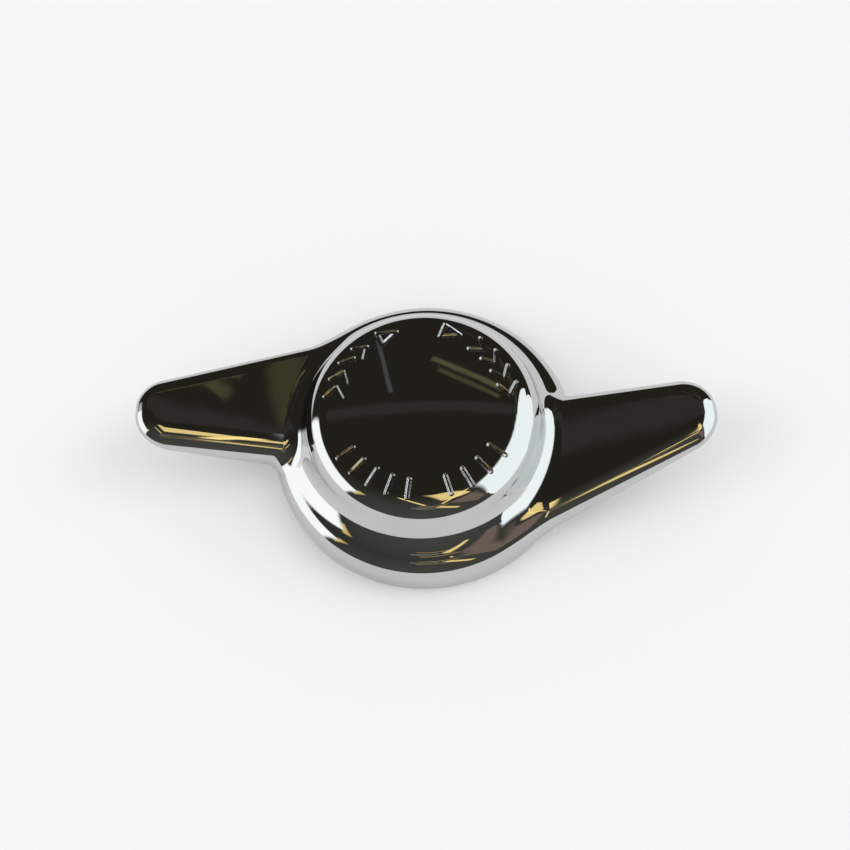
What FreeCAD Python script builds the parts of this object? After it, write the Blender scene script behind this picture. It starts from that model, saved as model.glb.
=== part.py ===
import FreeCAD, Part
import math
import os

import Sketcher
from FreeCAD import Vector

# Wire wheel spinner: a two-eared knock-off nut, forged in one piece.
# Origin: centre of the back rim. +Z: out of the wheel. The ears lie along X.

SIZES = {
    # outside of the nut, turned about Z
    "skirt_radius": 49.0,
    "skirt_height": 6.0,
    "rim_chamfer": 0.5,
    "shoulder_radius": 8.6,
    "flank_angle": 26.9,
    "cove_radius": 13.5,
    "wall_draft": 15.4,
    "cap_radius": 36.6,
    "cap_edge_radius": 8.9,
    "face_height": 29.5,
    "crown_rise": 1.5,
    # ears, seen from above
    "ear_reach": 91.8,
    "ear_sink": 11.6,
    "front_inset": 3.7,
    "front_angle": 21.8,
    "back_offset": 11.4,
    "back_angle": 1.8,
    "tip_angle": 2.6,
    "tip_front_radius": 8.0,
    "tip_back_radius": 10.5,
    # ears, seen from the side
    "ear_root_rise": 13.4,
    "ear_root_depth": 9.6,
    "ear_tip_rise": 2.2,
    "ear_tip_depth": 5.3,
    "ear_low_height": 1.5,
    "ear_top_round": 7.4,
    "ear_low_round": 1.4,
    "root_blend": 3.4,
    # cone seat and threaded bore in the back
    "rim_width": 5.0,
    "mouth_chamfer": 0.5,
    "seat_angle": 20.0,
    "seat_depth": 11.0,
    "thread_crest_radius": 19.0,
    "thread_lead": 2.0,
    "relief_length": 3.1,
    "relief_depth": 2.6,
    "cap_thickness": 4.0,
}
# sizes that fit onto others
FITTED = {
    "ear_inner_reach": "sizes.cap_radius - sizes.ear_sink",
    "front_offset": "sizes.skirt_radius - sizes.front_inset",
    "ear_root_top": "sizes.skirt_height + sizes.ear_root_rise",
    "ear_root_low": "sizes.skirt_height + sizes.ear_root_rise - sizes.ear_root_depth",
    "ear_tip_top": "sizes.face_height + sizes.ear_tip_rise",
    "ear_tip_low": "sizes.face_height + sizes.ear_tip_rise - sizes.ear_tip_depth",
    "seat_mouth_radius": "sizes.skirt_radius - sizes.rim_width",
    "bore_end_height": "sizes.face_height - sizes.cap_thickness",
    "thread_end_height": "sizes.face_height - sizes.cap_thickness - sizes.relief_length",
    "relief_radius": "sizes.thread_crest_radius + sizes.relief_depth",
}
EARS = 2
CLEAR = 5.0  # how far a cutting outline runs past the metal
SAME = 0.01  # how near two places count as one

START, END, CENTRE = 1, 2, 3
ORIGIN = (-1, 1)
ACROSS_AXIS, UP_AXIS = -1, -2

doc = FreeCAD.newDocument("wire_wheel_spinner")
sheet = doc.addObject("Spreadsheet::Sheet", "sizes")
for row, (name, value) in enumerate(SIZES.items(), start=1):
    sheet.set(f"A{row}", name)
    sheet.set(f"B{row}", str(value))
    sheet.setAlias(f"B{row}", name)
doc.recompute()


def formula(name):
    return FITTED.get(name, f"sizes.{name}")


def size(name):
    return float(sheet.evalExpression(formula(name)))


def flat(x, y):
    return Vector(x, y, 0)


def around(centre, radius, degrees):
    angle = math.radians(degrees)
    return centre + flat(radius * math.cos(angle), radius * math.sin(angle))


def between(point_a, lean_a, point_b, lean_b, radius):
    """Centre of the arc that touches two lines, each given by a point and its normal's angle."""
    a, b = math.radians(lean_a), math.radians(lean_b)
    reach_a = point_a.x * math.cos(a) + point_a.y * math.sin(a) + radius
    reach_b = point_b.x * math.cos(b) + point_b.y * math.sin(b) + radius
    spread = math.sin(b - a)
    across = (reach_a * math.sin(b) - reach_b * math.sin(a)) / spread
    up = (reach_b * math.cos(a) - reach_a * math.cos(b)) / spread
    return flat(across, up)


def new_sketch(body, name, role):
    """A sketch on the body's origin plane that has this role."""
    plane = next(item for item in body.Origin.OriginFeatures if item.Role == role)
    sketch = body.newObject("Sketcher::SketchObject", name)
    sketch.AttachmentSupport = [(plane, "")]
    sketch.MapMode = "FlatFace"
    return sketch


def line(sketch, start, end):
    return sketch.addGeometry(Part.LineSegment(start, end))


def arc(sketch, centre, radius, first, last):
    circle = Part.Circle(centre, Vector(0, 0, 1), radius)
    return sketch.addGeometry(Part.ArcOfCircle(circle, math.radians(first), math.radians(last)))


def polyline(sketch, points):
    """A closed run of lines through the points."""
    ids = [line(sketch, start, end) for start, end in zip(points, points[1:] + points[:1])]
    for this, following in zip(ids, ids[1:] + ids[:1]):
        rule(sketch, "Coincident", this, END, following, START)
    return ids


def rule(sketch, kind, *places):
    sketch.addConstraint(Sketcher.Constraint(kind, *places))


def bind(sketch, formula, kind, *places):
    """A dimension that follows a formula of the sheet's cells."""
    value = float(sketch.evalExpression(formula))
    start = math.radians(value) if kind == "Angle" else value
    index = sketch.addConstraint(Sketcher.Constraint(kind, *places, start))
    sketch.setExpression(f"Constraints[{index}]", formula)


def place(sketch, item, point, across, up):
    """A point's distances from the origin."""
    bind(sketch, across, "DistanceX", *ORIGIN, item, point)
    bind(sketch, up, "DistanceY", *ORIGIN, item, point)


def turned_outside(body):
    """Half section of the nut: rim, skirt, shoulder, flank, cove, cap wall and crowned face."""
    sketch = new_sketch(body, "turned_outside", "XZ_Plane")
    lean = 90 - size("flank_angle")
    draft = size("wall_draft")
    skirt_r = size("skirt_radius")
    rim = size("rim_chamfer")
    shoulder_r = size("shoulder_radius")
    cove_r = size("cove_radius")
    edge_r = size("cap_edge_radius")
    rise = size("crown_rise")
    top = size("face_height") + rise

    shoulder_centre = flat(skirt_r - shoulder_r, size("skirt_height"))
    flank_low = around(shoulder_centre, shoulder_r, lean)
    wall_high = flat(size("cap_radius"), 0)
    edge_centre = around(wall_high, -edge_r, draft)
    edge_centre.y = size("face_height") - edge_r
    wall_high = around(edge_centre, edge_r, draft)
    cove_centre = between(flank_low, lean, wall_high, draft, cove_r)
    flank_high = around(cove_centre, -cove_r, lean)
    wall_low = around(cove_centre, -cove_r, draft)
    crown_r = (edge_centre.x**2 + (edge_r + rise) ** 2 - edge_r**2) / (2 * rise)
    tilt = math.degrees(math.asin(edge_centre.x / (crown_r - edge_r)))

    base = line(sketch, flat(0, 0), flat(skirt_r - rim, 0))
    bevel = line(sketch, flat(skirt_r - rim, 0), flat(skirt_r, rim))
    skirt = line(sketch, flat(skirt_r, rim), flat(skirt_r, shoulder_centre.y))
    shoulder = arc(sketch, shoulder_centre, shoulder_r, 0, lean)
    flank = line(sketch, flank_low, flank_high)
    cove = arc(sketch, cove_centre, cove_r, 180 + draft, 180 + lean)
    wall = line(sketch, wall_low, wall_high)
    edge = arc(sketch, edge_centre, edge_r, draft, 90 - tilt)
    crown = arc(sketch, flat(0, top - crown_r), crown_r, 90 - tilt, 90)
    axis = line(sketch, flat(0, top), flat(0, 0))

    rule(sketch, "Coincident", base, START, *ORIGIN)
    rule(sketch, "Horizontal", base)
    rule(sketch, "Coincident", base, END, bevel, START)
    rule(sketch, "Coincident", bevel, END, skirt, START)
    rule(sketch, "Tangent", skirt, END, shoulder, START)
    rule(sketch, "Tangent", shoulder, END, flank, START)
    rule(sketch, "Tangent", flank, END, cove, END)
    rule(sketch, "Tangent", cove, START, wall, START)
    rule(sketch, "Tangent", wall, END, edge, START)
    rule(sketch, "Tangent", edge, END, crown, START)
    rule(sketch, "Coincident", crown, END, axis, START)
    rule(sketch, "Coincident", axis, END, *ORIGIN)
    rule(sketch, "PointOnObject", crown, CENTRE, UP_AXIS)
    rule(sketch, "PointOnObject", crown, END, UP_AXIS)
    rule(sketch, "Vertical", skirt)
    bind(sketch, "sizes.skirt_radius - sizes.rim_chamfer", "DistanceX", *ORIGIN, base, END)
    bind(sketch, "sizes.rim_chamfer", "DistanceY", *ORIGIN, bevel, END)
    bind(sketch, "sizes.shoulder_radius", "Radius", shoulder)
    bind(sketch, "sizes.cove_radius", "Radius", cove)
    bind(sketch, "sizes.cap_edge_radius", "Radius", edge)
    bind(sketch, "180 - sizes.flank_angle", "Angle", ACROSS_AXIS, flank)
    bind(sketch, "90 + sizes.wall_draft", "Angle", ACROSS_AXIS, wall)
    place(sketch, skirt, END, "sizes.skirt_radius", "sizes.skirt_height")
    bind(sketch, "sizes.cap_radius", "DistanceX", *ORIGIN, wall, END)
    bind(sketch, "sizes.face_height - sizes.cap_edge_radius", "DistanceY", *ORIGIN, edge, CENTRE)
    bind(sketch, "sizes.face_height + sizes.crown_rise", "DistanceY", *ORIGIN, axis, START)
    return sketch


def ear_plan(body):
    """One ear from above: a swept blade with a blunt, rounded tip."""
    sketch = new_sketch(body, "ear_plan", "XY_Plane")
    reach = size("ear_reach")
    inner = size("ear_inner_reach")
    front = math.radians(size("front_angle"))
    back = math.radians(size("back_angle"))
    front_r = size("tip_front_radius")
    back_r = size("tip_back_radius")

    def front_at(x):
        return flat(x, (x * math.sin(front) - size("front_offset")) / math.cos(front))

    def back_at(x):
        return flat(x, (size("back_offset") - x * math.sin(back)) / math.cos(back))

    lean = size("tip_angle")
    front_centre = flat(reach - front_r, 0)
    front_centre.y = front_at(front_centre.x).y + front_r / math.cos(front)
    tip_low = around(front_centre, front_r, lean)
    back_lean = 90 - size("back_angle")
    back_centre = between(tip_low, lean, back_at(0), back_lean, -back_r)
    tip_high = around(back_centre, back_r, lean)

    front_side = line(sketch, front_at(inner), around(front_centre, front_r, size("front_angle") - 90))
    front_tip = arc(sketch, front_centre, front_r, size("front_angle") - 90, lean)
    tip = line(sketch, tip_low, tip_high)
    back_tip = arc(sketch, back_centre, back_r, lean, back_lean)
    back_side = line(sketch, around(back_centre, back_r, back_lean), back_at(inner))
    root = line(sketch, back_at(inner), front_at(inner))

    rule(sketch, "Tangent", front_side, END, front_tip, START)
    rule(sketch, "Tangent", front_tip, END, tip, START)
    rule(sketch, "Tangent", tip, END, back_tip, START)
    rule(sketch, "Tangent", back_tip, END, back_side, START)
    rule(sketch, "Coincident", back_side, END, root, START)
    rule(sketch, "Coincident", root, END, front_side, START)
    rule(sketch, "Vertical", root)
    bind(sketch, "sizes.tip_front_radius", "Radius", front_tip)
    bind(sketch, "sizes.tip_back_radius", "Radius", back_tip)
    bind(sketch, "sizes.front_angle", "Angle", ACROSS_AXIS, front_side)
    bind(sketch, "180 - sizes.back_angle", "Angle", ACROSS_AXIS, back_side)
    bind(sketch, formula("front_offset"), "Distance", *ORIGIN, front_side)
    bind(sketch, "sizes.back_offset", "Distance", *ORIGIN, back_side)
    bind(sketch, "90 + sizes.tip_angle", "Angle", ACROSS_AXIS, tip)
    bind(sketch, "sizes.ear_reach - sizes.tip_front_radius", "DistanceX", *ORIGIN, front_tip, CENTRE)
    bind(sketch, formula("ear_inner_reach"), "DistanceX", *ORIGIN, root, START)
    return sketch


def ramp_line(name):
    """The line through an ear's heights at the skirt and at the tip: its height at any reach."""
    root, tip = size(f"ear_root_{name}"), size(f"ear_tip_{name}")
    rise = (tip - root) / (size("ear_reach") - size("skirt_radius"))
    return lambda across: flat(across, tip + rise * (across - size("ear_reach")))


def above_ear(body):
    """What is cut from the ear above its ramp, seen from the side."""
    sketch = new_sketch(body, "above_ear", "XZ_Plane")
    near = size("ear_inner_reach") - CLEAR
    far = size("ear_reach") + CLEAR
    roof = size("ear_tip_top") + CLEAR
    ramp = ramp_line("top")
    run = polyline(sketch, [ramp(near), ramp(far), flat(far, roof), flat(near, roof)])
    slope, outer, lid, inner = run
    rule(sketch, "Vertical", outer)
    rule(sketch, "Horizontal", lid)
    rule(sketch, "Vertical", inner)
    place(sketch, lid, START, f"sizes.ear_reach + {CLEAR}", f"{formula('ear_tip_top')} + {CLEAR}")
    bind(sketch, f"{formula('ear_inner_reach')} - {CLEAR}", "DistanceX", *ORIGIN, inner, START)
    guide(sketch, slope, "ear_root_top", "ear_tip_top")
    return sketch


def below_ear(body):
    """What is cut from the ear below its underside, seen from the side."""
    sketch = new_sketch(body, "below_ear", "XZ_Plane")
    near = size("ear_inner_reach") - CLEAR
    far = size("ear_reach") + CLEAR
    low = size("ear_low_height")
    ramp = ramp_line("low")
    steepness = (ramp(far) - ramp(near)).y / (far - near)
    bend = size("skirt_radius") + (low - size("ear_root_low")) / steepness
    points = [flat(near, -CLEAR), flat(far, -CLEAR), ramp(far), flat(bend, low), flat(near, low)]
    ground, outer, slope, level, inner = polyline(sketch, points)
    rule(sketch, "Horizontal", ground)
    rule(sketch, "Vertical", outer)
    rule(sketch, "Horizontal", level)
    rule(sketch, "Vertical", inner)
    place(sketch, outer, START, f"sizes.ear_reach + {CLEAR}", f"-{CLEAR}")
    near_reach = f"{formula('ear_inner_reach')} - {CLEAR}"
    place(sketch, inner, START, near_reach, "sizes.ear_low_height")
    guide(sketch, slope, "ear_root_low", "ear_tip_low")
    return sketch


def guide(sketch, sloped, root_height, tip_height):
    """Two construction points that a sloped line passes through, at the ear's root and tip."""
    for reach, height in (("skirt_radius", root_height), ("ear_reach", tip_height)):
        point = sketch.addGeometry(Part.Point(flat(size(reach), size(height))), True)
        place(sketch, point, START, formula(reach), formula(height))
        rule(sketch, "PointOnObject", point, START, sloped)


def back_section(body):
    """Half section of the hollow back: cone seat, step, thread lead, thread and relief."""
    sketch = new_sketch(body, "back_section", "XZ_Plane")
    mouth = size("seat_mouth_radius")
    depth = size("seat_depth")
    crest = size("thread_crest_radius")
    lead = size("thread_lead")
    thread_end = size("thread_end_height")
    relief = size("relief_radius")
    end = size("bore_end_height")
    lean = math.tan(math.radians(size("seat_angle")))
    run = polyline(
        sketch,
        [
            flat(0, 0),
            flat(mouth, 0),
            flat(mouth - depth * lean, depth),
            flat(crest + lead, depth),
            flat(crest, depth + lead),
            flat(crest, thread_end),
            flat(relief, thread_end),
            flat(relief, end),
            flat(0, end),
        ],
    )
    base, seat, step, lead_in, thread, shelf, relief_wall, bottom, axis = run
    rule(sketch, "Coincident", base, START, *ORIGIN)
    for item in (base, step, shelf, bottom):
        rule(sketch, "Horizontal", item)
    for item in (thread, relief_wall, axis):
        rule(sketch, "Vertical", item)
    bind(sketch, formula("seat_mouth_radius"), "DistanceX", *ORIGIN, base, END)
    bind(sketch, "90 + sizes.seat_angle", "Angle", ACROSS_AXIS, seat)
    bind(sketch, "sizes.seat_depth", "DistanceY", *ORIGIN, seat, END)
    bind(sketch, "sizes.thread_crest_radius + sizes.thread_lead", "DistanceX", *ORIGIN, step, END)
    place(
        sketch,
        lead_in,
        END,
        "sizes.thread_crest_radius",
        "sizes.seat_depth + sizes.thread_lead",
    )
    bind(sketch, formula("thread_end_height"), "DistanceY", *ORIGIN, thread, END)
    place(sketch, relief_wall, END, formula("relief_radius"), formula("bore_end_height"))
    return sketch


def edge_names(shape, wanted):
    return [f"Edge{number}" for number, edge in enumerate(shape.Edges, start=1) if wanted(edge)]


def on_slope(edge, root_height, tip_height):
    """Whether an edge of the ears lies on the slope through these two heights."""
    root = size("skirt_radius")
    rise = (tip_height - root_height) / (size("ear_reach") - root)
    ends = [vertex.Point for vertex in edge.Vertexes]
    return all(abs(end.z - root_height - rise * (abs(end.x) - root)) < SAME for end in ends)


def is_turned(face):
    """Whether the face belongs to the turned nut: it is curved, about the nut's own axis."""
    axis = getattr(face.Surface, "Axis", None)
    centre = getattr(face.Surface, "Center", getattr(face.Surface, "Apex", None))
    if isinstance(face.Surface, Part.Plane) or axis is None or centre is None:
        return False
    return abs(abs(axis.z) - 1) < SAME and math.hypot(centre.x, centre.y) < SAME


def is_root(shape, edge):
    """Whether an edge is where an ear meets the turned nut."""
    sides = [is_turned(face) for face in shape.ancestorsOfType(edge, Part.Face)]
    return edge.CenterOfMass.z > size("rim_chamfer") and any(sides) and not all(sides)


def is_ring(edge, radius, height):
    """Whether an edge is the full circle of this radius at this height."""
    around_it = abs(edge.Length - 2 * math.pi * radius) < SAME
    return around_it and abs(edge.BoundBox.ZMin - height) < SAME and edge.BoundBox.ZLength < SAME


def dress(body, kind, name, base, edges, cell):
    """A fillet or chamfer on some edges of a feature, sized by a cell."""
    feature = body.newObject(f"PartDesign::{kind}", name)
    feature.Base = (base, edges)
    feature.setExpression("Radius" if kind == "Fillet" else "Size", f"sizes.{cell}")
    doc.recompute()
    return feature


def cut_through(body, name, profile):
    """A pocket through the whole body, both ways from its sketch."""
    cut = body.newObject("PartDesign::Pocket", name)
    cut.Profile = profile
    cut.Type = "ThroughAll"
    cut.Midplane = True
    doc.recompute()
    return cut


def half_turn_copy(body, name, features):
    pair = body.newObject("PartDesign::PolarPattern", name)
    pair.Originals = features
    upright = next(item for item in body.Origin.OriginFeatures if item.Role == "Z_Axis")
    pair.Axis = (upright, [""])
    pair.Angle = 360
    pair.Occurrences = EARS
    body.Tip = pair
    doc.recompute()
    return pair


def ear_edges(shape, level):
    """Edges of the ears, clear of the nut, along the ramp at this level: top or low."""
    inner = size("ear_inner_reach") + CLEAR
    heights = size(f"ear_root_{level}"), size(f"ear_tip_{level}")
    return edge_names(
        shape, lambda edge: abs(edge.CenterOfMass.x) > inner and on_slope(edge, *heights)
    )


def ear_pair(body):
    """Two ears, half a turn apart: a broad round along the top, a small one below."""
    blade = body.newObject("PartDesign::Pad", "ear_blade")
    blade.Profile = ear_plan(body)
    blade.setExpression("Length", f"{formula('ear_tip_top')} + {CLEAR}")
    doc.recompute()
    ramp = cut_through(body, "ear_ramp", above_ear(body))
    pair = half_turn_copy(body, "ear_tops", [blade, ramp])
    tops = ear_edges(pair.Shape, "top")
    dress(body, "Fillet", "ear_top_rounds", pair, tops, "ear_top_round")
    under = cut_through(body, "ear_underside", below_ear(body))
    pair = half_turn_copy(body, "ear_undersides", [under])
    lows = ear_edges(pair.Shape, "low")
    return dress(body, "Chamfer", "ear_low_rounds", pair, lows, "ear_low_round")


def turn(body, kind, name, profile):
    """A half section turned about the nut's axis."""
    feature = body.newObject(kind, name)
    feature.Profile = profile
    feature.ReferenceAxis = (profile, ["V_Axis"])
    feature.Angle = 360
    doc.recompute()
    return feature


def spinner():
    body = doc.addObject("PartDesign::Body", "spinner")
    body.Label = "spinner"
    ear_pair(body)
    nut = turn(body, "PartDesign::Revolution", "turned_nut", turned_outside(body))
    roots = edge_names(nut.Shape, lambda edge: is_root(nut.Shape, edge))
    blended = dress(body, "Fillet", "root_blends", nut, roots, "root_blend")
    back = turn(body, "PartDesign::Groove", "hollow_back", back_section(body))
    if back.Shape.Volume > blended.Shape.Volume - 1:
        raise RuntimeError("the back is not hollowed")
    mouth = edge_names(back.Shape, lambda edge: is_ring(edge, size("seat_mouth_radius"), 0))
    dress(body, "Chamfer", "mouth_chamfer", back, mouth, "mouth_chamfer")
    return body


def check(items):
    for item in items:
        if "Invalid" in item.State or "Error" in item.State:
            raise RuntimeError(f"{item.Name} did not build: {item.State}")


body = spinner()
body.Placement = FreeCAD.Placement(Vector(0, 0, 0), FreeCAD.Rotation())
doc.recompute()
check(doc.Objects)
if body.Shape.isNull() or not body.Shape.isValid():
    raise RuntimeError("the spinner's solid is not valid")
os.makedirs("parts", exist_ok=True)
body.Shape.exportStep(f"parts/{body.Label}.step")
print(f"{body.Label}: {body.Shape.Volume:.0f} mm3, {body.Shape.BoundBox}")
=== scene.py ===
# %% [markdown]
# # A wire wheel spinner
# A spinner is the two-eared nut that holds a wire wheel on its splined hub. It is one chromed
# forging: a bell with a cone seat and a thread inside, a round cap on top, and two flat ears that
# a mallet strikes. This lesson loads the CAD model as a fixed frame, makes the polished outside
# as one closed mesh, cuts its marks, and lights it.

# %% Open the frame
import math

import bpy
import numpy as np
from mathutils import Matrix, Vector


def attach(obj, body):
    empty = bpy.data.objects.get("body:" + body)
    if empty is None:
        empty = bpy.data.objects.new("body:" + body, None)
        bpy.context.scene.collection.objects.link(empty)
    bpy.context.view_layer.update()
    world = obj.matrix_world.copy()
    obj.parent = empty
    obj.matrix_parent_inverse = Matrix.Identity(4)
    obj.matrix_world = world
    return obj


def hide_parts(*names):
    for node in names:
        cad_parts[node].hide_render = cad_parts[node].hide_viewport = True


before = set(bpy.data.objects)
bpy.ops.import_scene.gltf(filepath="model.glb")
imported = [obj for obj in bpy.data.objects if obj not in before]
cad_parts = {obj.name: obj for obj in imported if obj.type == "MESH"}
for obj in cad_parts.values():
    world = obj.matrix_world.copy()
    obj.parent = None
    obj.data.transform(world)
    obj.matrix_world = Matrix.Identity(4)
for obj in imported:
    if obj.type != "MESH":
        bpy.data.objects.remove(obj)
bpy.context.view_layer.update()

# %% [markdown]
# ## The sizes
# A forging has few sizes, and each one is named once, in millimetres. They are the ones that the
# CAD model is built from, so the visual mesh and the frame agree. Drawings give angles in
# degrees, so each is turned into radians as it is named. The tip trim ends the mesh's rounded
# tips where the chamfer under the CAD ears ends theirs, which keeps the mesh inside the CAD box.

# %% Name the sizes of the bell, the cap and the ears
SKIRT_RADIUS, SKIRT_HEIGHT, SHOULDER_RADIUS = 49.0, 6.0, 8.6
FLANK_ANGLE, COVE_RADIUS, WALL_DRAFT = math.radians(26.9), 13.5, math.radians(15.4)
CAP_RADIUS, CAP_EDGE, FACE_HEIGHT, CROWN_RISE = 36.6, 8.9, 29.5, 1.5
EAR_REACH, EAR_TOP_AT_ROOT, EAR_TOP_AT_TIP = 91.8, 19.4, 31.7
EAR_LOW_AT_ROOT, EAR_LOW_AT_TIP, EAR_LOWEST, EAR_INNER = 9.8, 26.4, 1.5, 25.0
FRONT_ANGLE, FRONT_OFFSET = math.radians(21.8), 45.3
BACK_ANGLE, BACK_OFFSET, TIP_ANGLE = math.radians(1.8), 11.4, math.radians(2.6)
TIP_FRONT, TIP_BACK, TIP_TRIM = 8.0, 10.5, 1.25
EAR_TOP_ROUND, EAR_LOW_ROUND = 7.4, 1.4
ROOT_BLEND, RIM_ROUND = 3.4, 0.5
print("the skirt is", 2 * SKIRT_RADIUS, "mm across, the crown", FACE_HEIGHT + CROWN_RISE, "mm high")

# %% [markdown]
# ## A shape as a distance
# A polished forging has no hard joins: every face rolls into the next. One way to get that is to
# write the shape as a function that gives the distance to its surface from any point, negative
# inside. Two such distances are joined or cut with a rounded corner of a chosen radius, which is
# what the polisher's wheel leaves. Bevelled solids could be joined instead, but their rounds stop
# where three of them meet, just where a mirror shows it most.

# %% Rounded cuts and joins of two distances
def rounded_cut(a, b, radius):
    """What lies inside both a and b, with its outer corner rounded."""
    outer = np.hypot(np.maximum(radius + a, 0), np.maximum(radius + b, 0))
    return np.minimum(-radius, np.maximum(a, b)) + outer


def rounded_join(a, b, radius):
    """What lies inside a or b, with its inner corner filled."""
    inner = np.hypot(np.maximum(radius - a, 0), np.maximum(radius - b, 0))
    return np.maximum(radius, np.minimum(a, b)) - inner


print("a 90 degree corner of radius 2 is cut to", round(float(rounded_cut(0.0, 0.0, 2.0)), 3), "mm")

# %% [markdown]
# ## The turned outside
# The bell and its cap are turned, so their shape is one line in radius and height: skirt,
# shoulder, flank, cove, wall, cap edge and crown. Each run touches the next without a corner. The
# distance to the line is the distance to its nearest run, and the run's own side says whether a
# point is inside.

# %% Distance to a straight run, to an arc, and to the nearest of several runs
def straight(r, z, start, end):
    """Distance to a run from start to end whose metal is on its left."""
    run = np.subtract(end, start)
    length = float(np.hypot(*run))
    dr, dz = r - start[0], z - start[1]
    along = np.clip((dr * run[0] + dz * run[1]) / length, 0, length)
    away = np.hypot(dr - along * run[0] / length, dz - along * run[1] / length)
    side = dr * run[1] - dz * run[0]
    return np.where(side < 0, -away, away)


def bend(r, z, centre, radius, first, last, hollow=False):
    """Distance to an arc between two angles; a hollow arc has its metal outside."""
    angle = np.arctan2(z - centre[1], r - centre[0])
    middle = (first + last) / 2
    off = (angle - middle + math.pi) % (2 * math.pi) - math.pi
    held = middle + np.clip(off, (first - last) / 2, (last - first) / 2)
    foot_r, foot_z = centre[0] + radius * np.cos(held), centre[1] + radius * np.sin(held)
    away = np.hypot(r - foot_r, z - foot_z)
    side = np.hypot(r - centre[0], z - centre[1]) - radius
    side = -side if hollow else side
    return np.where(side < 0, -away, away)


def nearest(parts):
    """The value that is smallest in size, which belongs to the nearest run."""
    stack = np.stack(parts)
    pick = np.abs(stack).argmin(axis=0)
    return np.take_along_axis(stack, pick[None], axis=0)[0]


skirt_line = (SKIRT_RADIUS, 0.0), (SKIRT_RADIUS, SKIRT_HEIGHT)
inset = -float(straight(0.0, SKIRT_HEIGHT / 2, *skirt_line))
print("the axis is", round(inset, 1), "mm inside the skirt")

# %% [markdown]
# ## Where the runs touch
# Two straight runs and the arc between them leave no corner when the arc's centre is one radius
# off both lines. The touching points could be set by eye and corrected, but two equations give
# them exactly, and they follow when a size changes.

# %% The centres and the touching points of the arcs
def on_circle(centre, radius, angle):
    """The point of a circle at an angle."""
    return (centre[0] + radius * math.cos(angle), centre[1] + radius * math.sin(angle))


def between(point_a, lean_a, point_b, lean_b, radius):
    """Centre of the arc that touches two lines, each given by a point and its normal's angle."""
    reach_a = point_a[0] * math.cos(lean_a) + point_a[1] * math.sin(lean_a) + radius
    reach_b = point_b[0] * math.cos(lean_b) + point_b[1] * math.sin(lean_b) + radius
    spread = math.sin(lean_b - lean_a)
    across = (reach_a * math.sin(lean_b) - reach_b * math.sin(lean_a)) / spread
    return (across, (reach_b * math.cos(lean_a) - reach_a * math.cos(lean_b)) / spread)


QUARTER = math.pi / 2
lean = QUARTER - FLANK_ANGLE
shoulder = (SKIRT_RADIUS - SHOULDER_RADIUS, SKIRT_HEIGHT)
edge = (CAP_RADIUS - CAP_EDGE * math.cos(WALL_DRAFT), FACE_HEIGHT - CAP_EDGE)
flank_foot = on_circle(shoulder, SHOULDER_RADIUS, lean)
wall_head = on_circle(edge, CAP_EDGE, WALL_DRAFT)
cove = between(flank_foot, lean, wall_head, WALL_DRAFT, COVE_RADIUS)
flank_head = on_circle(cove, -COVE_RADIUS, lean)
wall_foot = on_circle(cove, -COVE_RADIUS, WALL_DRAFT)
crown_radius = (edge[0] ** 2 + (CAP_EDGE + CROWN_RISE) ** 2 - CAP_EDGE ** 2) / (2 * CROWN_RISE)
crown = (0.0, FACE_HEIGHT + CROWN_RISE - crown_radius)
edge_turn = math.atan2(edge[1] - crown[1], edge[0])
print("flank", np.round(flank_foot, 2), "to", np.round(flank_head, 2), "cove", np.round(cove, 2))

# %% The line from the rim to the crown
BELOW_RIM = -20.0


def turned(r, z):
    """Distance to the outside of the bell and the cap."""
    runs = [
        straight(r, z, (SKIRT_RADIUS, BELOW_RIM), (SKIRT_RADIUS, SKIRT_HEIGHT)),
        bend(r, z, shoulder, SHOULDER_RADIUS, 0, lean),
        straight(r, z, flank_foot, flank_head),
        bend(r, z, cove, COVE_RADIUS, math.pi + WALL_DRAFT, math.pi + lean, hollow=True),
        straight(r, z, wall_foot, wall_head),
        bend(r, z, edge, CAP_EDGE, WALL_DRAFT, edge_turn),
        bend(r, z, crown, crown_radius, edge_turn, QUARTER),
    ]
    return nearest(runs)


print("the crown's top is", round(crown[1] + crown_radius, 2), "mm high")

# %% [markdown]
# ## The ears
# An ear is a flat blade: a front edge that leans in, a straight back edge, a rounded tip, and a
# top and underside that ramp upwards. It could be extruded and bevelled, but a few flat cuts with
# rounded corners give the blade and its soft edges at once. The second ear is the first one
# turned half a turn, so the field turns the point instead.

# %% One ear, and its half-turn copy
def ramp(x, at_root, at_tip):
    """Height and lean of a line through two heights, at the skirt and at the tip."""
    rise = (at_tip - at_root) / (EAR_REACH - SKIRT_RADIUS)
    return at_root + rise * (x - SKIRT_RADIUS), 1 / math.hypot(1, rise)


tip_x = EAR_REACH - TIP_FRONT
tip_y = (tip_x * math.sin(FRONT_ANGLE) - FRONT_OFFSET + TIP_FRONT) / math.cos(FRONT_ANGLE)
TIP_OFFSET = tip_x * math.cos(TIP_ANGLE) + tip_y * math.sin(TIP_ANGLE) + TIP_FRONT - TIP_TRIM


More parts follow.
